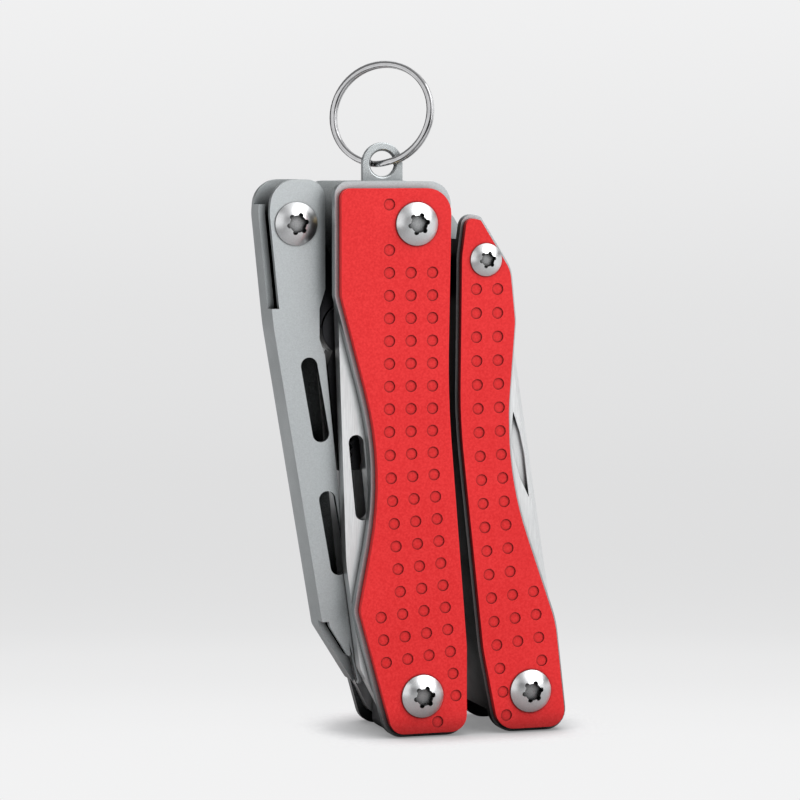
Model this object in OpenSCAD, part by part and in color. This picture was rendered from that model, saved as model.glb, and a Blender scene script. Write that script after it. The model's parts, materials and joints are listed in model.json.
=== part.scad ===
// Folding pocket multi tool: a broad centre handle, a bare steel plier handle on its left
// and a sprung lever handle on its right, standing on its end. X runs across the handles,
// Y runs through their thickness, front at -Y, and Z runs up their length.

/* [Pivots] */
// Height of the pivots at the foot of the tool
low_pivot_z = 4.9; // [4.7:0.1:5.4]
// Height of the plier pivots at the head of the tool
high_pivot_z = 59.8; // [59:0.1:60.4]
// Offset of the centre handle's plier pivot from its foot pivot
plier_pivot_x = -0.7; // [-1:0.1:-0.3]
// Distance between the two plier pivots
plier_pivot_gap = 13.2; // [12.9:0.1:13.6]
// Distance between the two foot pivots
foot_pivot_gap = 13.3; // [13:0.1:13.6]
// Offset of the lever's hinge from the foot pivot of the centre handle
hinge_x = 7.7; // [7.5:0.1:7.9]
// Height of the lever's hinge
hinge_z = 55.6; // [55:0.1:56]
// Radius of a main pivot barrel
barrel_r = 1.6; // [1.4:0.05:1.7]
// Radius of the lever's hinge barrel
hinge_barrel_r = 1.1; // [1:0.05:1.2]
// Running clearance of a bore on its barrel
run_fit = 0.05; // [0.03:0.01:0.08]

/* [Thickness] */
// Width of the slot that takes the plier head and the bare handle
slot_w = 5.5; // [5.4:0.1:5.8]
// Thickness of a folding tool beside the slot
tool_t = 1.8; // [1.4:0.1:1.9]
// Side clearance between layers
layer_gap = 0.1; // [0.08:0.01:0.15]
// Thickness of a steel liner
liner_t = 1.2; // [1:0.1:1.4]
// Thickness of a coloured scale
scale_t = 1.1; // [1:0.1:1.6]
// Width of the bare handle across its channel
channel_w = 5.2; // [5:0.05:5.25]
// Sheet thickness of the bare handle
channel_t = 0.8; // [0.7:0.05:0.85]
// Thickness of the plier head
plier_t = 3.4; // [3:0.1:3.45]
// Thickness of the lever's hinge lug
lug_t = 3.2; // [2.6:0.1:3.3]

/* [Scales] */
// How far a scale stays inside its liner's outline
scale_inset = 0.5; // [0.4:0.05:0.7]
// Radius of a grip dimple
dimple_r = 0.68; // [0.5:0.02:0.8]
// Depth of a grip dimple
dimple_depth = 0.16; // [0.1:0.02:0.3]
// Spacing of the grip dimples along a handle
dimple_pitch = 2.62; // [2.5:0.02:3.2]
// Spacing of the grip dimples across a handle
dimple_pitch_x = 2.6; // [2.4:0.02:3]
// Step of the lever's dimples along it
lever_dimple_pitch = 2.78; // [2.5:0.02:3.2]

/* [Screws] */
// Radius of a main screw head
head_r = 2.5; // [2.3:0.05:2.7]
// Height of a main screw head
head_h = 1.2; // [1:0.05:1.4]
// Radius of the lever hinge's screw head
small_head_r = 1.9; // [1.7:0.05:2]
// Height of the lever hinge's screw head
small_head_h = 0.95; // [0.8:0.05:1.1]
// Radius of a main screw's shank
shank_r = 0.9; // [0.7:0.05:1]
// Radius of the lever hinge's screw shank
small_shank_r = 0.6; // [0.5:0.05:0.7]
// Height of the bare handle's low rear head
low_head_h = 0.5; // [0.4:0.05:0.5]

/* [Plier] */
// Height of the plier joint
joint_z = 47.5; // [47:0.1:48]
// Radius of the plier joint's bosses
joint_r = 3.2; // [3:0.05:3.25]
// Length of the jaws below the joint
jaw_len = 16.5; // [14:0.5:18]
// Radius of the plier rivet
rivet_r = 1.2; // [1:0.05:1.4]

/* [Key ring] */
// Radius to the middle of the ring's wire
ring_r = 6.1; // [5.6:0.1:6.4]
// Width of the ring's wire, measured along the ring's radius
ring_wire_w = 0.8; // [0.7:0.05:0.85]
// Thickness of the ring's wire, measured along its axis
ring_wire_t = 0.42; // [0.36:0.01:0.44]
// Radius of the hole in the lanyard eye
eye_hole_r = 1.5; // [1.45:0.05:1.7]
// Radius of the lanyard eye
eye_r = 2.5; // [2.4:0.05:2.8]
// Thickness of the lanyard plate
eye_t = 0.7; // [0.6:0.05:0.75]
// Turn of the ring out of the eye's plane
ring_turn = 36; // [34:1:40]
// Backward lean of the ring
ring_lean = 14; // [12:1:22]
// Turn of the ring round its own axis, away from standing straight over the eye
ring_roll = 5; // [2:1:8]

/* [Hidden] */
$fn = 64;

// Layers through the thickness, measured out from the middle plane
slot_y = slot_w / 2;
tool_in = slot_y + layer_gap;
tool_out = tool_in + tool_t;
liner_in = tool_out + layer_gap;
liner_out = liner_in + liner_t;
scale_out = liner_out + scale_t;
channel_y = channel_w / 2;
plier_y = plier_t / 2;
lug_y = lug_t / 2;

// Pivot places as [x, z]
foot_pivot = [0, low_pivot_z];
lever_foot_pivot = [foot_pivot_gap, low_pivot_z];
plier_pivot = [plier_pivot_x, high_pivot_z];
left_pivot = [plier_pivot_x - plier_pivot_gap, high_pivot_z];
plier_joint = [(plier_pivot[0] + left_pivot[0]) / 2, joint_z];
hinge = [hinge_x, hinge_z];

// Outlines as corners [x, z, corner radius], clockwise seen from the front. Each corner is placed from
// the pivot that it goes round: pl the plier pivot, fo the foot pivot, lf the left pivot, hi the hinge
// and le the lever's foot pivot. Waists lie at the height of the middle of the handle.
head_rise = 4.9;
head_top = high_pivot_z + head_rise;
waist_z = (low_pivot_z + high_pivot_z) / 2;
function from(pivot, dx, dz, r) = [pivot[0] + dx, pivot[1] + dz, r];
pl = plier_pivot;
fo = foot_pivot;
lf = left_pivot;
hi = hinge;
le = lever_foot_pivot;
middle = [(pl[0] + fo[0]) / 2, waist_z];
lever_middle = [(hi[0] + le[0]) / 2, waist_z];
left_foot = [fo[0] - 5.9, low_pivot_z];
center_outline = [
  from(pl, -9.5, head_rise, 1.6), from(pl, 4.5, head_rise, 2.6), from(middle, 3.7, 7.65, 120),
  from(fo, 5.7, 5.6, 6), [fo[0] + 5.7, 0, 2.4], [fo[0] - 3.9, 0, 2.2], from(fo, -8, 10.1, 3),
  from(middle, -4.55, -0.85, 40), from(pl, -9.5, -8.3, 2.5)
];
// The scales stop short of the liners' head, which shows above them as a rim, and reach nearly to the
// liners' edge on the side of the lever
scale_drop = 0.3;
edge_reach = 0.25;
head_round = 0.8;
center_scale_outline = [for (i = [0:len(center_outline) - 1]) let (c = center_outline[i])
  i == 0 ? c - [0, scale_drop, 0] :
  i == 1 ? c + [edge_reach, -scale_drop, head_round] :
  i < 5 ? c + [edge_reach, 0, 0] : c];
lever_outline = [
  from(hi, -2.5, 5.6, 1.4), from(hi, -0.3, 5, 0.8), from(hi, 3.5, -1.1, 4), from(hi, 4.1, -7.2, 6),
  from(lever_middle, 0.55, 6.15, 30), from(lever_middle, 0.7, -2.85, 40), from(le, 3.6, 8.1, 14),
  [le[0] + 5.05, 0, 2.4], [le[0] - 4.1, 0, 2.8],
  from(le, -6.1, 5.1, 20), from(lever_middle, -6.2, 4.65, 70), from(hi, -3.2, 0.4, 10)
];
// The lever's scales reach nearly to the bend on the side of the centre handle
bend_reach = 0.2;
lever_scale_outline = [for (i = [0:len(lever_outline) - 1])
  i == 0 || i > 7 ? lever_outline[i] - [bend_reach, 0, 0] : lever_outline[i]];
left_outline = [
  from(lf, -3.7, head_rise + 0.2, 3), from(lf, 3.5, head_rise + 0.2, 2.2), from(lf, 3.5, -7.6, 1.2),
  from(lf, 2.8, -9.8, 1.2), from(lf, 2.8, -13.4, 1.2), from(lf, 3.45, -15.2, 1.2),
  from(left_foot, -1.6, 10.9, 6), from(left_foot, 0, 0, 0.3), from(left_foot, -4.8, 7.7, 1.4),
  from(lf, -2.7, -11.8, 30), from(lf, -4, 1.2, 6)
];

// A point's unit left-hand normal between two corners
function normal(a, b) = let (d = [b[0] - a[0], b[1] - a[1]]) [d[1], -d[0]] / norm(d);

// The outline moved in by d, with its round corners following
function inset(path, d) = [for (i = [0:len(path) - 1]) let (
  b = path[i],
  n1 = normal(path[(i + len(path) - 1) % len(path)], b),
  n2 = normal(b, path[(i + 1) % len(path)]),
  turn = cross([n1[0], n1[1]], [n2[0], n2[1]]),
  m = (n1 + n2) / (1 + n1 * n2)
) [b[0] + d * m[0], b[1] + d * m[1], max(0.2, b[2] + (turn < 0 ? -d : d))]];

// The points of a round corner between its two straight sides
arc_steps = 8;
function corner(a, b, c) = let (
  u = [a[0] - b[0], a[1] - b[1]] / norm([a[0] - b[0], a[1] - b[1]]),
  v = [c[0] - b[0], c[1] - b[1]] / norm([c[0] - b[0], c[1] - b[1]]),
  half = acos(u * v) / 2,
  mid = (u + v) / norm(u + v),
  centre = [b[0], b[1]] + mid * b[2] / sin(half),
  sweep = 180 - 2 * half,
  side = sign(cross(u, v)),
  first = -mid
) [for (k = [0:arc_steps]) let (t = side * sweep * (0.5 - k / arc_steps))
  centre + b[2] * [first[0] * cos(t) - first[1] * sin(t), first[0] * sin(t) + first[1] * cos(t)]];
function rounded(path) = [for (i = [0:len(path) - 1])
  each corner(path[(i + len(path) - 1) % len(path)], path[i], path[(i + 1) % len(path)])];

// A flat shape drawn in x and z, given thickness from y0 to y1
module plate(y0, y1) {
  translate([0, y1, 0]) rotate([90, 0, 0]) linear_extrude(y1 - y0) children();
}
module pin(at, y0, y1, r) {
  translate([at[0], y1, at[1]]) rotate([90, 0, 0]) cylinder(r = r, h = y1 - y0);
}
module outline(path) {
  polygon(rounded(path));
}

// Whether a point lies inside a closed outline, by counting the edges to its right
function crossings(p, pts) = [for (i = [0:len(pts) - 1]) let (
  a = pts[i],
  b = pts[(i + 1) % len(pts)]
) if ((a[1] > p[1]) != (b[1] > p[1])
  && p[0] < (b[0] - a[0]) * (p[1] - a[1]) / (b[1] - a[1]) + a[0]) 1];
function inside(p, pts) = len(crossings(p, pts)) % 2 == 1;

// Grip dimples in columns that bend with the handle and keep off its edge and its screws.
// bend = [x of the first column at the head, height where the bend starts, strength, power]
// step = [across, along, rise of the first row over the foot pivot]
dimple_margin = 0.95;
function column_x(z, bend) = bend[0] + bend[2] * pow(max(0, bend[1] - z), bend[3]);
function column_slope(z, bend) = -bend[2] * bend[3] * pow(max(0, bend[1] - z), bend[3] - 1);
function dimple_places(path, screws, clear, bend, step, columns, extra_column, extra_rows) = let (
  bound = rounded(inset(path, scale_inset + dimple_margin)),
  rows = floor((head_top - low_pivot_z) / step[1])
) [for (row = [-1:rows], column = columns) let (
  z = low_pivot_z + step[2] + row * step[1],
  aside = column * step[0],
  p = [column_x(z, bend) + aside, z - column_slope(z, bend) * aside]
) if (inside(p, bound) && min([for (s = screws) norm(p - s)]) > clear
  && (column != extra_column || (p[1] > extra_rows[0] && p[1] < extra_rows[1]))) p];
first_rise = -0.49;
lever_first_rise = 0.03;
center_dimples = dimple_places(center_outline, [foot_pivot, plier_pivot], head_r + 1.1,
  [pl[0] - 0.68, waist_z + 3.65, 0.0163, 1.5],
  [dimple_pitch_x, dimple_pitch, first_rise], [-2, -1, 0, 1], -2, [low_pivot_z + 3, low_pivot_z + 11]);
// One place, just over the lever's foot screw, stays plain
plain_place = le + [-1.3, 3.5];
lever_places = dimple_places(lever_outline, [lever_foot_pivot, hinge], head_r + 0.85,
  [hi[0] - 1.15, hi[1] - 5.6, 0.00166, 2],
  [dimple_pitch_x, lever_dimple_pitch, lever_first_rise], [0, 1, 2], 2,
  [low_pivot_z + 2, low_pivot_z + 12.6]);
lever_dimples = [for (p = lever_places) if (norm(p - plain_place) > dimple_pitch_x / 2) p];

// A coloured scale: a plate dimpled on its outer face, side -1 in front and 1 behind
module scale_plate(path, places, holes, side) {
  skin = side * scale_out;
  difference() {
    layer(side, liner_out, scale_out) outline(inset(path, scale_inset));
    for (p = places) pin(p, skin - dimple_depth, skin + dimple_depth, dimple_r, $fn = 24);
    for (h = holes) pin(h, -scale_out - 1, scale_out + 1, shank_r + run_fit);
  }
}
// A plate between two depths on the front (-1) or the back (1)
module layer(side, near, far) {
  if (side < 0) plate(-far, -near) children();
  else plate(near, far) children();
}

// Six-lobed driver socket, and the depth that every screw reaches
screw_tip = 0;
module star(r) {
  circle(r * 0.76, $fn = 24);
  for (k = [0:5]) rotate(60 * k + 12) translate([r * 0.78, 0]) circle(r * 0.22, $fn = 24);
}
// Button-headed screw whose head stands on the plane y = face, facing the front
socket_share = 0.53;
module button_screw(at, face, r, h, shank) {
  dome_r = (r * r + h * h) / (2 * h) * 1.15;
  rim = 0.2;
  socket = r * socket_share;
  difference() {
    intersection() {
      pin(at, face - h, face, r);
      translate([at[0], face - h + dome_r, at[1]]) sphere(dome_r, $fn = 96);
    }
    plate(face - h - 1, face - h * rim) translate(at) star(socket);
  }
  pin(at, face, screw_tip, shank);
}
// Barrel nut that runs through the handle and ends in a low head behind
module barrel_nut(at, front, face, r, rear_head_r, rear_head_h, shank) {
  difference() {
    union() {
      pin(at, front, face, r);
      pin(at, face, face + rear_head_h, rear_head_r);
    }
    pin(at, front - 1, screw_tip + layer_gap, shank + run_fit);
  }
}

// Centre handle
lanyard_eye = [plier_pivot_x - 0.2, head_top + 2];
eye_foot = 4;
eye_chamfer = 0.2;
pocket_gap = 0.05;
module lanyard_shape(grow) {
  hull() {
    translate(lanyard_eye) circle(eye_r + grow, $fn = 32);
    translate([lanyard_eye[0], plier_pivot[1] + eye_foot]) square([2 * (eye_r + grow), 0.1], center = true);
  }
  translate([lanyard_eye[0] - eye_r - grow, plier_pivot[1] - eye_r - grow])
    square([2 * (eye_r + grow), eye_foot + eye_r + 2 * grow]);
}
module center_front_scale() {
  color("red") scale_plate(center_scale_outline, center_dimples, [foot_pivot, plier_pivot], -1);
}
module center_back_scale() {
  color("red") difference() {
    scale_plate(center_scale_outline, center_dimples, [], 1);
    plate(liner_out - 1, liner_out + eye_t + pocket_gap) lanyard_shape(pocket_gap);
    for (p = [foot_pivot, plier_pivot]) pin(p, liner_in, scale_out + 1, barrel_r + run_fit);
  }
}
module center_liner(side) {
  difference() {
    layer(side, liner_in, liner_out) outline(center_outline);
    for (p = [foot_pivot, plier_pivot]) pin(p, -scale_out, scale_out, barrel_r + run_fit);
    pin(dowel, -scale_out, scale_out, dowel_r + run_fit);
  }
}
module center_front_liner() {
  color("silver") center_liner(-1);
}
module center_back_liner() {
  color("silver") center_liner(1);
}
module lanyard_plate() {
  color("silver") difference() {
    plate(liner_out, liner_out + eye_t) lanyard_shape(0);
    eye_hole();
    pin(plier_pivot, 0, scale_out, barrel_r + run_fit);
  }
}
// The hole's edges are broken on both faces, so the key ring turns freely in it
module eye_hole() {
  pin(lanyard_eye, 0, scale_out, eye_hole_r);
  translate([lanyard_eye[0], liner_out, lanyard_eye[1]]) rotate([-90, 0, 0])
    cylinder(r1 = eye_hole_r + eye_chamfer, r2 = eye_hole_r, h = eye_chamfer);
  translate([lanyard_eye[0], liner_out + eye_t, lanyard_eye[1]]) rotate([90, 0, 0])
    cylinder(r1 = eye_hole_r + eye_chamfer, r2 = eye_hole_r, h = eye_chamfer);
}
// The spacer keeps the liners apart at the foot and stands on the ground with them
spacer_left = fo[0] - 3.2;
spacer_right = fo[0] + 4.9;
spacer_top = low_pivot_z + 4.6;
module center_spacer() {
  color("dimgray") difference() {
    plate(-slot_y, slot_y)
      outline([
        [spacer_left, spacer_top, 2], [spacer_right, spacer_top, 1.5],
        [spacer_right, 0, 1.5], [spacer_left, 0, 1]
      ]);
    pin(foot_pivot, -liner_out, liner_out, barrel_r + run_fit);
  }
}
// The hinge block is pinned between the liners and carries the lever on its lug
lug_r = 2.2;
block_top = high_pivot_z - 4.6;
block_foot = high_pivot_z - 13.8;
block_left = pl[0] + 0.3;
block_right = pl[0] + 3.6;
dowel = [(block_left + block_right) / 2, (block_top + block_foot) / 2];
dowel_r = 0.8;
module hinge_block() {
  color("dimgray") difference() {
    union() {
      plate(-liner_in, liner_in)
        outline([
          [block_left, block_top, 0.6], [block_right, block_top, 0.6],
          [block_right, block_foot, 0.6], [block_left, block_foot, 0.6]
        ]);
      plate(-lug_y, lug_y) hull() {
        translate(hinge) circle(lug_r, $fn = 32);
        translate([block_right - 1, block_top - lug_r - 0.6]) circle(lug_r, $fn = 32);
      }
    }
    pin(hinge, -liner_out, liner_out, hinge_barrel_r + run_fit);
    pin(dowel, -liner_out, liner_out, dowel_r + run_fit);
  }
}
module hinge_dowel() {
  color("gray") pin(dowel, -liner_out, liner_out, dowel_r);
}
module plier_pivot_barrel() {
  color("lightgray") barrel_nut(plier_pivot, -liner_out, scale_out, barrel_r, head_r, head_h, shank_r);
}
module plier_pivot_screw() {
  color("whitesmoke") button_screw(plier_pivot, -scale_out, head_r, head_h, shank_r);
}
module center_tool_barrel() {
  color("lightgray") barrel_nut(foot_pivot, -liner_out, scale_out, barrel_r, head_r, head_h, shank_r);
}
module center_tool_screw() {
  color("whitesmoke") button_screw(foot_pivot, -scale_out, head_r, head_h, shank_r);
}

// Plier head: two crossing levers that lap at the joint, jaws down when folded
tang_r = 2.5;
jaw_root_w = 2.6;
jaw_tip_w = 1.3;
tooth_pitch = 0.9;
tooth_depth = 0.35;
teeth = 8;
mating_gap = 0.06;
lap_gap = 0.05;
// One lever's arm, for the lever whose tang lies on side s of the joint
module tang_shape(s) {
  pivot_dx = s * plier_pivot_gap / 2;
  pivot_dz = high_pivot_z - joint_z;
  neck = 0.45;
  intersection() {
    union() {
      hull() {
        translate([pivot_dx, pivot_dz]) circle(tang_r, $fn = 32);
        translate([pivot_dx, pivot_dz] * neck) circle(tang_r * 0.8, $fn = 32);
      }
      hull() {
        translate([pivot_dx, pivot_dz] * neck) circle(tang_r * 0.8, $fn = 32);
        circle(joint_r, $fn = 48);
      }
    }
    translate([s > 0 ? mating_gap : -mating_gap - 20, -20]) square([20, 60]);
  }
}
// The jaw hangs on the far side of the joint from its tang, toothed where it meets its mate
module jaw_shape(s) {
  mirror([s > 0 ? 1 : 0, 0]) difference() {
    polygon([
      [mating_gap, 0], [jaw_root_w * 0.75, -joint_r * 0.75], [jaw_root_w, -joint_r * 1.35],
      [jaw_tip_w, -jaw_len], [mating_gap, -jaw_len]
    ]);
    for (k = [0:teeth - 1]) translate([mating_gap, -jaw_len + (k + 1) * tooth_pitch]) polygon([
      [-1, -tooth_pitch * 0.45], [0, -tooth_pitch * 0.45], [tooth_depth, 0],
      [0, tooth_pitch * 0.45], [-1, tooth_pitch * 0.45]
    ]);
  }
}
// Each lever is half as thick at the joint, where it laps its mate, and full thickness beyond
module plier_lever(s, side) {
  lap0 = side < 0 ? -plier_y : lap_gap / 2;
  lap1 = side < 0 ? -lap_gap / 2 : plier_y;
  keep = joint_r + 0.15;
  difference() {
    translate([plier_joint[0], 0, plier_joint[1]]) {
      plate(lap0, lap1) {
        circle(joint_r, $fn = 48);
        tang_shape(s);
        jaw_shape(s);
      }
      plate(-plier_y, plier_y) difference() {
        union() {
          tang_shape(s);
          jaw_shape(s);
        }
        circle(keep, $fn = 48);
      }
    }
    pin(plier_joint, -plier_t, plier_t, rivet_r + run_fit);
    pin([plier_joint[0] + s * plier_pivot_gap / 2, high_pivot_z], -plier_t, plier_t, barrel_r + run_fit);
  }
}
module plier_jaw_right() {
  color("darkgray") plier_lever(1, -1);
}
module plier_jaw_left() {
  color("darkgray") plier_lever(-1, 1);
}
module plier_rivet() {
  color("lightgray") pin(plier_joint, -plier_y, plier_y, rivet_r);
}
// Flat hairpin spring on the front of the plier head, with its foot on the left lever
spring_t = 0.5;
spring_w = 0.45;
spring_half = 1.6;
spring_bend = 4.1;
spring_top = 8.1;
module plier_spring() {
  front = -plier_y - layer_gap / 2;
  color("silver") {
    plate(front - spring_t, front) translate(plier_joint) difference() {
      polygon([
        [-spring_half - spring_w, spring_top], [0, spring_bend - 2 * spring_w], [spring_half + spring_w, spring_top]
      ]);
      polygon([[-spring_half, spring_top + 1], [0, spring_bend], [spring_half, spring_top + 1]]);
    }
    plate(front - spring_t / 2, -plier_y)
      translate(plier_joint + [-spring_half - spring_w / 2, spring_top - spring_w])
      circle(spring_w / 3, $fn = 16);
  }
}
module plier_washers() {
  color("goldenrod") difference() {
    for (side = [-1, 1]) layer(side, plier_y + layer_gap, liner_in)
      translate(plier_pivot) circle(barrel_r + 1.1);
    pin(plier_pivot, -liner_out, liner_out, barrel_r + run_fit);
  }
}

// Bare steel plier handle: a folded channel, open towards the centre handle
slot_len = 10;
slot_open = 2;
slot_tilt = 10;
blade_slot_tilt = 5.6;
left_slots = [lf + [2.25, -20.4], left_foot + [-3.6, 18.9]];
spine_cut_y = -0.7;
spine_top = lf[1] + 2.2;
spine_cut_foot = lf[1] - 9.8;
chamfer_top = left_foot[1] + 8.5;
module long_slot(at, length, width, tilt) {
  translate(at) rotate(tilt) {
    square([width, length - width], center = true);
    for (s = [-1, 1]) translate([0, s * (length - width) / 2]) circle(width / 2, $fn = 24);
  }
}
module spine_band(path, t) {
  difference() {
    outline(path);
    outline(inset(path, t));
  }
}
module left_spine() {
  intersection() {
    spine_band(left_outline, channel_t);
    polygon([
      [lf[0] - 20, spine_top], [lf[0] + 0.1, spine_top], left_foot + [-2.5, 9.1], left_foot + [-0.5, 1.5],
      left_foot + [-1.1, -0.9], [lf[0] - 20, left_foot[1] - 0.9]
    ]);
  }
}
// The front half of the spine is cut away beside the pivot and along the slanted foot
module left_cuts() {
  past_spine = channel_t * 1.1;
  difference() {
    intersection() {
      outline(left_outline);
      translate([lf[0] - 20, spine_cut_foot]) square([20, spine_top]);
    }
    translate([past_spine, 0]) outline(left_outline);
  }
  intersection() {
    left_spine();
    translate([lf[0] - 20, 0]) square([40, chamfer_top]);
  }
}
module left_channel() {
  wall = channel_y - channel_t;
  color("silver") difference() {
    union() {
      plate(-channel_y, -wall) difference() {
        outline(left_outline);
        left_cuts();
      }
      plate(-wall, spine_cut_y) difference() {
        left_spine();
        left_cuts();
      }
      plate(spine_cut_y, wall) left_spine();
      plate(wall, channel_y) outline(left_outline);
    }
    for (at = left_slots) plate(-channel_y - 1, 0) long_slot(at, slot_len, slot_open, slot_tilt);
    pin(left_pivot, -channel_w, channel_w, barrel_r + run_fit);
  }
}
module left_pivot_barrel() {
  color("lightgray") barrel_nut(left_pivot, -channel_y, channel_y, barrel_r, head_r, low_head_h, shank_r);
}
module left_pivot_screw() {
  color("whitesmoke") button_screw(left_pivot, -channel_y, head_r, head_h, shank_r);
}

// Folding tools of the centre handle
blade_slot = fo + [-6.9, 25.5];
blade_outline = [
  from(fo, -9.6, 49.7, 0.6), from(fo, -7.2, 48.1, 1.5), from(fo, -2.6, 39.1, 8), from(fo, -1.2, 9.1, 6),
  from(fo, 3.6, 3.1, 2.6), from(fo, 3.4, -3.5, 2.5), from(fo, -3.2, -3.7, 2.2), from(fo, -6.8, 3.1, 2),
  from(fo, -8.5, 15.6, 20)
];
opener_outline = [
  from(fo, -10.4, 37.6, 1.5), from(fo, -5, 39.4, 1.5), from(fo, -1.6, 33.1, 4), from(fo, -1.2, 9.1, 6),
  from(fo, 3.6, 3.1, 2.6), from(fo, 3.4, -3.5, 2.5), from(fo, -3.2, -3.7, 2.2), from(fo, -6.6, 3.1, 2),
  from(fo, -9, 15.6, 20)
];
hook = fo + [-10.2, 26];
hook_r = 2.6;
module slotted_blade() {
  color("white") difference() {
    layer(-1, tool_in, tool_out) outline(blade_outline);
    layer(-1, tool_in - 1, tool_out + 1) long_slot(blade_slot, slot_len, slot_open * 0.9, blade_slot_tilt);
    pin(foot_pivot, -scale_out, scale_out, barrel_r + run_fit);
  }
}
module bottle_opener() {
  color("white") difference() {
    layer(1, tool_in, tool_out) outline(opener_outline);
    pin(hook, 0, scale_out, hook_r);
    pin(foot_pivot, -scale_out, scale_out, barrel_r + run_fit);
  }
}

// Sprung lever handle: a channel with its back to the centre handle, scaled on both faces
lever_spine_top = hi[1] + 2.4;
lever_spine_foot = le[1] - 2.3;
lug_notch_foot = hi[1] - 6.6;
lug_notch_y = lug_y + 0.6;
module lever_spine() {
  intersection() {
    spine_band(lever_outline, liner_t);
    polygon([
      [hi[0] - 20, lever_spine_top], [hi[0] - 1.1, lever_spine_top], lever_middle + [-4.1, -2.35],
      le + [-3.9, 5.1], [le[0] - 2.3, lever_spine_foot], [hi[0] - 20, lever_spine_foot]
    ]);
  }
}
module lever_channel() {
  color("silver") difference() {
    union() {
      for (side = [-1, 1]) layer(side, liner_in, liner_out) outline(lever_outline);
      plate(-liner_in, liner_in) lever_spine();
    }
    plate(-lug_notch_y, lug_notch_y) translate([hi[0] - 8, lug_notch_foot]) square([8, 20]);
    pin(lever_foot_pivot, -scale_out, scale_out, barrel_r + run_fit);
    pin(hinge, -scale_out, scale_out, hinge_barrel_r + run_fit);
  }
}
module lever_front_scale() {
  color("red") difference() {
    scale_plate(lever_scale_outline, lever_dimples, [lever_foot_pivot], -1);
    pin(hinge, -scale_out - 1, 0, small_shank_r + run_fit);
  }
}
module lever_back_scale() {
  color("red") difference() {
    scale_plate(lever_scale_outline, lever_dimples, [], 1);
    pin(lever_foot_pivot, 0, scale_out + 1, barrel_r + run_fit);
    pin(hinge, 0, scale_out + 1, hinge_barrel_r + run_fit);
  }
}
module lever_spacer() {
  color("goldenrod") difference() {
    for (side = [-1, 1]) layer(side, driver_y + layer_gap, slot_y)
      translate(lever_foot_pivot) circle(barrel_r + 1.5);
    pin(lever_foot_pivot, -liner_out, liner_out, barrel_r + run_fit);
  }
}
module lever_hinge_barrel() {
  color("lightgray")
    barrel_nut(hinge, -liner_out, scale_out, hinge_barrel_r, small_head_r, small_head_h, small_shank_r);
}
module lever_hinge_screw() {
  color("whitesmoke") button_screw(hinge, -scale_out, small_head_r, small_head_h, small_shank_r);
}
module lever_tool_barrel() {
  color("lightgray") barrel_nut(lever_foot_pivot, -liner_out, scale_out, barrel_r, head_r, head_h, shank_r);
}
module lever_tool_screw() {
  color("whitesmoke") button_screw(lever_foot_pivot, -scale_out, head_r, head_h, shank_r);
}
// Leaf spring on the centre spacer that steadies the foot of the lever
leaf_t = 0.3;
leaf_y = 1.6;
leaf_foot = 2.2;
leaf_bend = spacer_top - 0.5;
leaf_tip = [fo[0] + 5.75, low_pivot_z + 14.6];
module lever_spring() {
  color("silver") plate(-leaf_y, leaf_y)
    polygon([
      [spacer_right, leaf_foot], [spacer_right + leaf_t, leaf_foot],
      [spacer_right + leaf_t, leaf_bend], leaf_tip,
      leaf_tip - [leaf_t, 0], [spacer_right, leaf_bend + leaf_t]
    ]);
}

// Folding tools of the lever
knife_tip = le + [-4, 48.3];
knife_spine = [le + [4.2, 4.7], le + [-1.85, 45.1]];
knife_edge = [le + [-4.4, 11.1], le + [-5.9, 31.1], le + [-5.7, 42.1]];
knife_outline = [
  [knife_tip[0], knife_tip[1], 0.6], [knife_spine[1][0], knife_spine[1][1], 4],
  [knife_spine[0][0], knife_spine[0][1], 3], from(le, 3.05, -2.7, 2.6), from(le, -2.7, -3.1, 2.4),
  from(le, -3.9, 4.1, 2), [knife_edge[1][0], knife_edge[1][1], 12], [knife_edge[2][0], knife_edge[2][1], 6]
];
file_outline = [
  from(le, -5.3, 45.6, 0.8), from(le, -3.1, 45.1, 1), from(le, 3.5, 5.1, 3), from(le, 3.3, -2.7, 2.6),
  from(le, -2.7, -3.1, 2.4), from(le, -3.9, 4.1, 2), from(le, -6.3, 33.1, 12)
];
nick = [
  le + [-1.4, 32.8], le + [-0.55, 30.3], le + [0, 27.8], le + [0.6, 22.6], le + [-0.52, 24.95],
  le + [-1.14, 27], le + [-1.7, 29.4]
];
nick_depth = 0.6;
spine_chamfer = 0.6;
grind_w = 2;
grind_y = 0.12;
// A wedge along the line from a to b, cutting in to the right of it: w wide on the face, d deep at the edge
module edge_wedge(a, b, face, side, w, d) {
  run = b - a;
  translate([a[0], face, a[1]]) rotate([0, 90 - atan2(run[1], run[0]), 0]) linear_extrude(norm(run))
    polygon([[w, side], [w, 0], [0, -side * d], [-1, -side * d], [-1, side]]);
}
module knife_blade() {
  color("white") difference() {
    layer(-1, tool_in, tool_out) outline(knife_outline);
    plate(-tool_out - 1, -tool_out + nick_depth) polygon(nick);
    edge_wedge(knife_spine[1], knife_spine[0], -tool_out, -1, spine_chamfer, spine_chamfer);
    for (k = [0:1], side = [-1, 1])
      edge_wedge(knife_edge[k], knife_edge[k + 1], side < 0 ? -tool_out : -tool_in, side,
        grind_w, tool_t / 2 - grind_y);
    pin(lever_foot_pivot, -scale_out, scale_out, barrel_r + run_fit);
  }
}
file_groove = 0.5;
file_grooves = 26;
file_from = 11.1;
file_pitch = 1.2;
module nail_file() {
  color("white") difference() {
    layer(1, tool_in, tool_out) outline(file_outline);
    for (k = [0:file_grooves - 1])
      translate([le[0], tool_out, le[1] + file_from + k * file_pitch]) rotate([45, 0, 0])
      cube([40, file_groove, file_groove], center = true);
    pin(lever_foot_pivot, -scale_out, scale_out, barrel_r + run_fit);
  }
}
driver_y = 1.5;
driver_r = 1.35;
driver_len = 36;
driver_tip = 3;
driver_tilt = -6.5;
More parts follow.
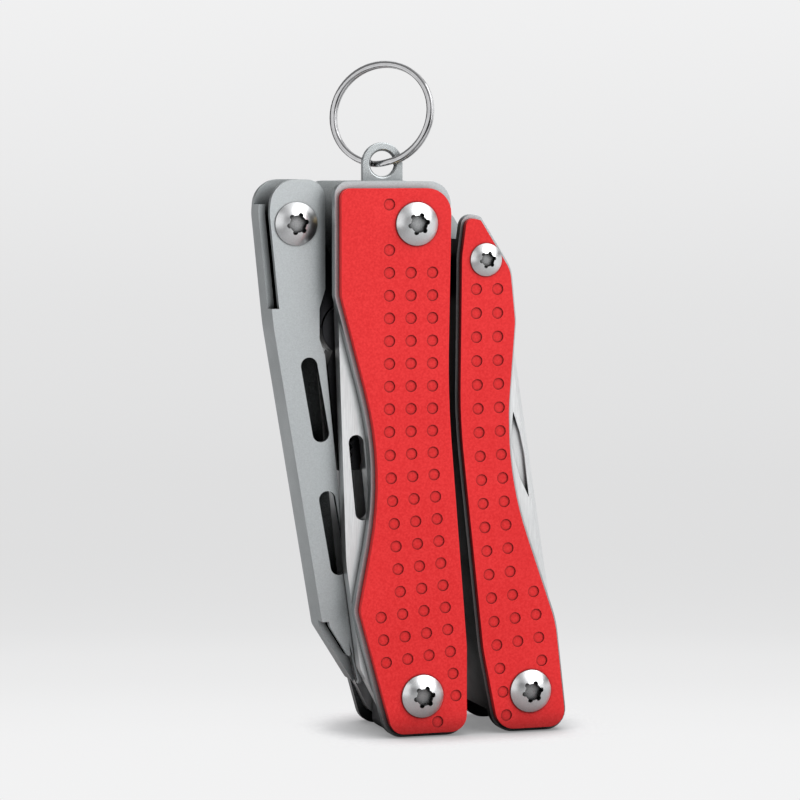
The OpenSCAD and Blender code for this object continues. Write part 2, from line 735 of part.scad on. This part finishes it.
module phillips_driver() {
  color("white") difference() {
    union() {
      pin(lever_foot_pivot, -driver_y, driver_y, barrel_r + 1.7);
      translate([lever_foot_pivot[0], 0, lever_foot_pivot[1]]) rotate([0, driver_tilt, 0]) {
        cylinder(r = driver_r, h = driver_len);
        translate([0, 0, driver_len]) cylinder(r1 = driver_r, r2 = driver_r / 3, h = driver_tip);
      }
    }
    pin(lever_foot_pivot, -scale_out, scale_out, barrel_r + run_fit);
    translate([lever_foot_pivot[0], 0, lever_foot_pivot[1]]) rotate([0, driver_tilt, 0])
      for (k = [0:3]) rotate(45 + 90 * k) translate([0.35, 0.35, driver_len - 2]) cube([4, 4, 8]);
  }
}

// Split key ring: two flat turns of wire joined by a short ramp at the eye
ring_ramp = 12;
ring_pitch = ring_wire_t + 0.05;
ring_step = 6;
ring_across = [cos(ring_turn), -sin(ring_turn), 0];
ring_up = [sin(ring_lean) * sin(ring_turn), sin(ring_lean) * cos(ring_turn), cos(ring_lean)];
ring_axis = cross(ring_across, ring_up);
ring_centre = [lanyard_eye[0], liner_out + eye_t / 2, lanyard_eye[1]]
  + ring_r * (ring_up * cos(ring_roll) - ring_across * sin(ring_roll));
wire_round = 0.3;
wire_section = [for (k = [0:7]) let (c = cos(45 * k + 22.5), s = sin(45 * k + 22.5))
  [sign(c) * pow(abs(c), wire_round * 2) * ring_wire_w / 2,
    sign(s) * pow(abs(s), wire_round * 2) * ring_wire_t / 2]];
function ring_shift(a) = ring_pitch * (smooth((a - 360 + ring_ramp) / (2 * ring_ramp)) - 0.5);
function smooth(t) = let (u = max(0, min(1, t))) u * u * (3 - 2 * u);
function ring_point(a, section) = ring_centre
  + (ring_r + section[0]) * (ring_across * sin(a + ring_roll) - ring_up * cos(a + ring_roll))
  + ring_axis * (ring_shift(a) + section[1]);
module split_ring() {
  angles = [for (a = [ring_ramp:ring_step:720 - ring_ramp]) a];
  n = len(wire_section);
  last = len(angles) - 1;
  color("lightgray") polyhedron(
    [for (a = angles, p = wire_section) ring_point(a, p)],
    concat(
      [[for (k = [0:n - 1]) k]],
      [for (i = [0:last - 1], k = [0:n - 1]) each let (m = (k + 1) % n)
        [[i * n + k, (i + 1) * n + k, (i + 1) * n + m], [i * n + k, (i + 1) * n + m, i * n + m]]],
      [[for (k = [0:n - 1]) last * n + n - 1 - k]]
    )
  );
}

center_front_scale();
center_front_liner();
center_back_liner();
center_back_scale();
lanyard_plate();
center_spacer();
hinge_block();
hinge_dowel();
lever_spring();
plier_pivot_barrel();
plier_pivot_screw();
plier_washers();
center_tool_barrel();
center_tool_screw();
plier_jaw_right();
plier_rivet();
plier_jaw_left();
plier_spring();
left_channel();
left_pivot_barrel();
left_pivot_screw();
slotted_blade();
bottle_opener();
lever_channel();
lever_front_scale();
lever_back_scale();
lever_spacer();
lever_hinge_barrel();
lever_hinge_screw();
lever_tool_barrel();
lever_tool_screw();
knife_blade();
nail_file();
phillips_driver();
split_ring();
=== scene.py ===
"""Looks of the folding multi tool: finishes, softened edges, a pale studio and the photograph's view."""
import json
import math

import bpy
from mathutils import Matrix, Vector

MM = 0.001
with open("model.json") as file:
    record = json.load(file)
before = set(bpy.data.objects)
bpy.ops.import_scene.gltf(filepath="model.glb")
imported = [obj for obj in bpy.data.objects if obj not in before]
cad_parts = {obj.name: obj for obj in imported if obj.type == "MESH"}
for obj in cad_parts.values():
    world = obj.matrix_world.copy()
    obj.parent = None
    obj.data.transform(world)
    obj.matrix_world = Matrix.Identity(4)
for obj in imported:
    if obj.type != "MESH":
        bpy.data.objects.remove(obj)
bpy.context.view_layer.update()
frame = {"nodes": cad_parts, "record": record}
nodes = frame["nodes"]


def add_object(name, data):
    item = bpy.data.objects.new(name, data)
    bpy.context.scene.collection.objects.link(item)
    return item


def aim(item, direction):
    item.rotation_mode = "QUATERNION"
    item.rotation_quaternion = direction.to_track_quat("-Z", "Y")


# Camera: the view is turned to the left of the front and looks slightly down

VIEW_TURN = math.radians(-17)
VIEW_DOWN = math.radians(4.2)
VIEW_TARGET = Vector((-0.566, 0, 38.97)) * MM
VIEW_WIDTH = 94.1 * MM
SENSOR_MM = 36
LENS_MM = 150
CLIP_NEAR = 0.01
CLIP_FAR = 20


def make_camera():
    data = bpy.data.cameras.new("camera")
    data.sensor_width = SENSOR_MM
    data.lens = LENS_MM
    data.clip_start = CLIP_NEAR
    data.clip_end = CLIP_FAR
    camera = add_object("camera", data)
    back = Vector((
        math.sin(VIEW_TURN) * math.cos(VIEW_DOWN),
        -math.cos(VIEW_TURN) * math.cos(VIEW_DOWN),
        math.sin(VIEW_DOWN),
    ))
    camera.location = VIEW_TARGET + back * VIEW_WIDTH * LENS_MM / SENSOR_MM
    aim(camera, -back)
    bpy.context.scene.camera = camera


# Shader nodes

# The sockets of a mix node share their names, so they are taken by number
NUMBER_A, NUMBER_B, NUMBER_OUT = 2, 3, 0
COLOUR_A, COLOUR_B, COLOUR_OUT = 6, 7, 2
NOISE_ROUGHNESS = 0.55
HOLLOW_SAMPLES = 8


class Nodes:
    """A short way to add and join shader nodes in one tree."""

    def __init__(self, owner):
        owner.use_nodes = True
        self.tree = owner.node_tree
        self.tree.nodes.clear()

    def add(self, kind, **values):
        """Add a node. Each value sets the property of that name or, if there is none, the input."""
        node = self.tree.nodes.new("ShaderNode" + kind)
        for key, value in values.items():
            if hasattr(node, key):
                setattr(node, key, value)
            else:
                node.inputs[key.replace("_", " ")].default_value = value
        return node

    def join(self, source, target):
        self.tree.links.new(source, target)


def grey(value):
    return (value, value, value)


def noise(make, place, size, detail):
    """Noise whose grains are about size metres across."""
    texture = make.add("TexNoise", Scale=1 / size, Detail=detail, Roughness=NOISE_ROUGHNESS)
    make.join(place, texture.inputs["Vector"])
    return texture.outputs["Fac"]


def ramp(make, factor, stops):
    node = make.add("ValToRGB")
    elements = node.color_ramp.elements
    while len(elements) < len(stops):
        elements.new(0.5)
    for element, (position, colour) in zip(elements, stops):
        element.position = position
        element.color = (*colour, 1)
    make.join(factor, node.inputs["Fac"])
    return node.outputs["Color"]


def blend(make, factor, low, high, span=(0.3, 0.7)):
    """One colour turning into another over a span of the factor."""
    return ramp(make, factor, [(span[0], low), (span[1], high)])


def mix_colours(make, first, second, share, way="MIX"):
    node = make.add("Mix", data_type="RGBA", blend_type=way, Factor=share)
    make.join(first, node.inputs[COLOUR_A])
    make.join(second, node.inputs[COLOUR_B])
    return node.outputs[COLOUR_OUT]


def choose(make, factor, first, second):
    """The first number where the factor is 0, the second where it is 1."""
    node = make.add("Mix")
    make.join(factor, node.inputs["Factor"])
    for socket, value in ((NUMBER_A, first), (NUMBER_B, second)):
        if isinstance(value, (int, float)):
            node.inputs[socket].default_value = value
        else:
            make.join(value, node.inputs[socket])
    return node.outputs[NUMBER_OUT]


def combine(make, operation, first, second):
    node = make.add("Math", operation=operation)
    make.join(first, node.inputs[0])
    make.join(second, node.inputs[1])
    return node.outputs["Value"]


def map_range(make, value, span, result=(0, 1), way="LINEAR"):
    node = make.add("MapRange", interpolation_type=way)
    node.inputs["From Min"].default_value = span[0]
    node.inputs["From Max"].default_value = span[1]
    node.inputs["To Min"].default_value = result[0]
    node.inputs["To Max"].default_value = result[1]
    make.join(value, node.inputs["Value"])
    return node.outputs["Result"]


def bump(make, height, depth, strength):
    node = make.add("Bump", Strength=strength, Distance=depth)
    make.join(height, node.inputs["Height"])
    return node.outputs["Normal"]


def darken_hollows(make, colour, reach, floor, span):
    """Painted shade: the colour darkens in grooves, gaps and round fastenings, over a span of openness."""
    hollow = make.add("AmbientOcclusion", samples=HOLLOW_SAMPLES, Distance=reach)
    shade = blend(make, hollow.outputs["AO"], grey(floor), grey(1.0), span)
    return mix_colours(make, colour, shade, 1, "MULTIPLY")


# Finishes, with painted shade in their hollows

# Painted shade in hollows: how far each kind of hollow looks for its walls, how dark its painted shade
# gets, and over which span of openness
DIMPLES = {"reach": 0.3 * MM, "floor": 0.7, "span": (0.35, 0.92)}
SIDES = {"reach": 4 * MM, "floor": 0.1, "span": (0.34, 0.9)}
GAPS = {"reach": 12 * MM, "floor": 0.02, "span": (0.2, 0.76)}
SOCKETS = {"reach": 1.8 * MM, "floor": 0.03, "span": (0.48, 0.92)}
GROOVES = {"reach": 1.5 * MM, "floor": 0.06, "span": (0.25, 0.68)}
TURNS = {"reach": 0.7 * MM, "floor": 0.03, "span": (0.4, 0.95)}

RED_CLOUD_SIZE = 9 * MM
RED_CLOUDS = ((0.73, 0.02, 0.022), (0.81, 0.028, 0.03))
RED_FLECK_SIZE = 0.24 * MM
RED_FLECKS = ((0.6, 0.01, 0.012), (0.9, 0.06, 0.06))
RED_FLECK_SPAN = (0.35, 0.7)
RED_FLECK_SHARE = 0.34
RED_ROUGHNESS = (0.5, 0.62)
RED_GRAIN_DEPTH = 0.03 * MM
RED_GRAIN_STRENGTH = 0.45
RED_SPECULAR = 0.22

METAL_CLOUD_SIZE = 6 * MM
METAL_DARK = 0.9
METAL_LIGHT = 1.06
METAL_GRAIN_STRENGTH = 0.3
LEAST_ROUGHNESS = 0.03
EVEN = (1, 1, 1)
ALONG_Z = (1, 1, 0.06)


def start_material(name):
    material = bpy.data.materials.new(name)
    make = Nodes(material)
    shader = make.add("BsdfPrincipled")
    output = make.add("OutputMaterial")
    make.join(shader.outputs["BSDF"], output.inputs["Surface"])
    place = make.add("TexCoord").outputs["Object"]
    return material, make, shader, place


def stretched(make, place, stretch):
    mapping = make.add("Mapping", Scale=stretch)
    make.join(place, mapping.inputs["Vector"])
    return mapping.outputs["Vector"]


def red_scale_material():
    """Blasted and red-anodised aluminium: a fine even grain over a faint cloudiness, with painted shade in
    its dimples and along its sides.
    """
    material, make, shader, place = start_material("red_scale")
    clouds = blend(make, noise(make, place, RED_CLOUD_SIZE, 2), *RED_CLOUDS)
    speck = noise(make, place, RED_FLECK_SIZE, 3)
    flecks = blend(make, speck, *RED_FLECKS, RED_FLECK_SPAN)
    colour = mix_colours(make, clouds, flecks, RED_FLECK_SHARE)
    # Painted shade: dark rings in the dimples, then darker sides and screw surroundings where neighbouring
    # parts close in
    dimpled = darken_hollows(make, colour, **DIMPLES)
    make.join(darken_hollows(make, dimpled, **SIDES), shader.inputs["Base Color"])
    smoothest, roughest = RED_ROUGHNESS
    make.join(blend(make, speck, grey(smoothest), grey(roughest)), shader.inputs["Roughness"])
    make.join(bump(make, speck, RED_GRAIN_DEPTH, RED_GRAIN_STRENGTH), shader.inputs["Normal"])
    shader.inputs["Metallic"].default_value = 0
    shader.inputs["Specular IOR Level"].default_value = RED_SPECULAR
    return material


def metal_material(name, colour, rough, grain, hollows, direction=EVEN, depth=0.01 * MM, spread=0.06):
    """Bare metal: grain drawn out along a direction, a cloudy roughness, and painted shade in its hollows.
    """
    material, make, shader, place = start_material(name)
    lines = noise(make, stretched(make, place, direction), grain, 4)
    clouds = noise(make, place, METAL_CLOUD_SIZE, 3)
    dark = tuple(c * METAL_DARK for c in colour)
    light = tuple(min(1, c * METAL_LIGHT) for c in colour)
    tone = blend(make, lines, dark, light)
    # Painted shade in the kind of hollow given to this metal
    make.join(darken_hollows(make, tone, **hollows), shader.inputs["Base Color"])
    smoothest = max(LEAST_ROUGHNESS, rough - spread)
    roughest = rough + spread
    make.join(blend(make, clouds, grey(smoothest), grey(roughest)), shader.inputs["Roughness"])
    make.join(bump(make, lines, depth, METAL_GRAIN_STRENGTH), shader.inputs["Normal"])
    shader.inputs["Metallic"].default_value = 1
    return material


materials = {
    "red_scale": red_scale_material(),
    "satin_steel": metal_material("satin_steel", (0.53, 0.56, 0.57), 0.4, 0.14 * MM, GAPS),
    "blade_steel": metal_material("blade_steel", (0.85, 0.865, 0.87), 0.33, 0.12 * MM, GROOVES, ALONG_Z),
    "screw_steel": metal_material(
        "screw_steel", (0.8, 0.81, 0.82), 0.31, 0.1 * MM, SOCKETS, depth=0.005 * MM
    ),
    "dark_steel": metal_material("dark_steel", (0.12, 0.12, 0.13), 0.42, 0.15 * MM, GAPS),
    "brass_washer": metal_material("brass_washer", (0.7, 0.5, 0.2), 0.3, 0.12 * MM, GAPS),
    "ring_steel": metal_material(
        "ring_steel", (0.54, 0.54, 0.55), 0.07, 0.6 * MM, TURNS, depth=0.002 * MM, spread=0.03
    ),
}


# Edges: every machined edge is broken by a small radius, and a bend in sheet has a larger one

EDGE_MM = {
    "red_scale": 0.13,
    "satin_steel": 0.1,
    "blade_steel": 0.1,
    "screw_steel": 0.08,
    "dark_steel": 0.08,
    "brass_washer": 0.06,
    "ring_steel": 0.16,
}
BEND_MM = {"left_channel": 0.3, "lever_channel": 0.58}
WELD_GAP = 0.002 * MM
EDGE_SEGMENTS = 3
EDGE_ANGLE = math.radians(40)


def break_edges(node, width):
    weld = node.modifiers.new("weld", "WELD")
    weld.merge_threshold = WELD_GAP
    edge = node.modifiers.new("edge", "BEVEL")
    edge.width = width
    edge.segments = EDGE_SEGMENTS
    edge.limit_method = "ANGLE"
    edge.angle_limit = EDGE_ANGLE
    edge.use_clamp_overlap = True
    edge.harden_normals = True


def smooth(node):
    data = node.data
    if "custom_normal" in data.attributes:
        data.attributes.remove(data.attributes["custom_normal"])
    data.polygons.foreach_set("use_smooth", [True] * len(data.polygons))


def dress():
    slots = {row["node"]: row["material_slot"] for row in frame["record"]["subparts"]}
    for name, node in nodes.items():
        slot = slots[name]
        node.data.materials.clear()
        node.data.materials.append(materials[slot])
        smooth(node)
        break_edges(node, BEND_MM.get(name, EDGE_MM[slot]) * MM)


# Studio: a pale floor, soft lamps, and a pale surround

FLOOR_SIDE = 0.6
FLOOR_FADE = (0.03, 0.18)
# The floor is pale to the camera and darker to reflections and bounced light, which paints darker
# reflections low on the metal
FLOOR_SEEN = (0.86, 0.86, 0.87)
FLOOR_UNSEEN = grey(0.4)
FLOOR_GLOW = 0.6
FLOOR_LIGHT = 1.017
# The painted contact shadow on the floor: its reach, darkness and span of openness
CONTACT = {"reach": 9 * MM, "floor": 0.4, "span": (0.3, 0.9)}
CONTACT_FADE = (0.72, 0.97)


def floor_material():
    """Pale paper with a painted contact shadow near the part. The camera sees it only in that painted
    contact shade, so tools that open below it show.
    """
    material = bpy.data.materials.new("floor")
    make = Nodes(material)
    seen = make.add("LightPath").outputs["Is Camera Ray"]

    distance = make.add("VectorMath", operation="LENGTH")
    make.join(make.add("TexCoord").outputs["Object"], distance.inputs[0])
    far_off = map_range(make, distance.outputs["Value"], FLOOR_FADE, way="SMOOTHSTEP")
    openness = make.add("AmbientOcclusion", Distance=CONTACT["reach"])
    unshaded = map_range(make, openness.outputs["AO"], CONTACT_FADE, way="SMOOTHSTEP")
    clearness = choose(make, seen, far_off, unshaded)

    # Painted darker reflection: rays other than the camera's see the floor in FLOOR_UNSEEN
    plain = blend(make, seen, FLOOR_UNSEEN, FLOOR_SEEN, (0, 1))
    # Painted contact shadow: the floor's paper and glow darken near the part
    shade = darken_hollows(make, plain, **CONTACT)
    paper = make.add("BsdfDiffuse")
    make.join(shade, paper.inputs["Color"])
    glow = make.add("Emission", Strength=FLOOR_LIGHT)
    make.join(shade, glow.inputs["Color"])
    lit = make.add("MixShader")
    make.join(map_range(make, seen, (0, 1), (0, FLOOR_GLOW)), lit.inputs["Fac"])
    make.join(paper.outputs["BSDF"], lit.inputs[1])
    make.join(glow.outputs["Emission"], lit.inputs[2])

    faded = make.add("MixShader")
    make.join(clearness, faded.inputs["Fac"])
    make.join(lit.outputs["Shader"], faded.inputs[1])
    make.join(make.add("BsdfTransparent").outputs["BSDF"], faded.inputs[2])
    output = make.add("OutputMaterial")
    make.join(faded.outputs["Shader"], output.inputs["Surface"])
    return material


def make_floor():
    side = FLOOR_SIDE
    corners = [(-side, -side, 0), (side, -side, 0), (side, side, 0), (-side, side, 0)]
    mesh = bpy.data.meshes.new("floor")
    mesh.from_pydata(corners, [], [(0, 1, 2, 3)])
    mesh.materials.append(floor_material())
    floor = add_object("floor", mesh)


# Each lamp's place, its width and height in metres, and its power in watts
LAMPS = {
    "key": ((0.26, -0.34, 0.36), (0.5, 0.5), 2.35),
    "fill": ((-0.42, -0.22, 0.16), (0.4, 0.4), 0.45),
    "top": ((0.0, 0.1, 0.5), (0.5, 0.4), 0.5),
}
LAMP_TARGET = Vector((0, 0, 35)) * MM


def light_scene():
    for name, (place, size, power) in LAMPS.items():
        data = bpy.data.lights.new(name, "AREA")
        data.shape = "RECTANGLE"
        data.size, data.size_y = size
        data.energy = power
        lamp = add_object(name, data)
        lamp.location = place
        aim(lamp, LAMP_TARGET - Vector(place))


# Tones of the surround from straight down (0) to straight up (1), and a dark band that only metal mirrors
SURROUND = [
    (0.0, 0.89), (0.404, 0.89), (0.413, 0.887), (0.4174, 0.868), (0.4218, 0.831), (0.4262, 0.809),
    (0.4306, 0.762), (0.4395, 0.738), (0.452, 0.738), (0.463, 0.758), (0.478, 0.776), (0.5, 0.831),
    (0.523, 0.875), (1.0, 0.9),
]
SURROUND_BLUE = 1.004
SURROUND_LIGHT = 0.66
BAND = [(0.0, 1.0), (0.56, 1.0), (0.61, 0.12), (0.69, 0.12), (0.75, 1.0), (1.0, 1.0)]
LEFT_SHADE = 0.3
LEFT_SPAN = (-0.65, 0.15)


def make_surround():
    """The surround shows as a soft vertical gradient. Polished metal sees it darker on the left."""
    world = bpy.data.worlds.new("surround")
    bpy.context.scene.world = world
    make = Nodes(world)
    ray = make.add("LightPath").outputs
    direction = make.add("SeparateXYZ")
    make.join(make.add("TexCoord").outputs["Generated"], direction.inputs["Vector"])
    height = map_range(make, direction.outputs["Z"], (-1, 1))
    tone = ramp(make, height, [(p, (v, v, v * SURROUND_BLUE)) for p, v in SURROUND])

    across = map_range(make, direction.outputs["X"], LEFT_SPAN, (LEFT_SHADE, 1), "SMOOTHSTEP")
    band = ramp(make, height, [(p, grey(v)) for p, v in BAND])
    mirrored = combine(make, "MULTIPLY", band, across)
    unseen = choose(make, ray["Is Glossy Ray"], SURROUND_LIGHT, mirrored)
    seen = combine(make, "MAXIMUM", ray["Is Camera Ray"], ray["Is Transmission Ray"])

    glow = make.add("Background")
    make.join(tone, glow.inputs["Color"])
    make.join(choose(make, seen, unseen, 1), glow.inputs["Strength"])
    output = make.add("OutputWorld")
    make.join(glow.outputs["Background"], output.inputs["Surface"])


make_camera()
dress()
make_floor()
light_scene()
make_surround()
bpy.context.scene.view_settings.view_transform = "Standard"
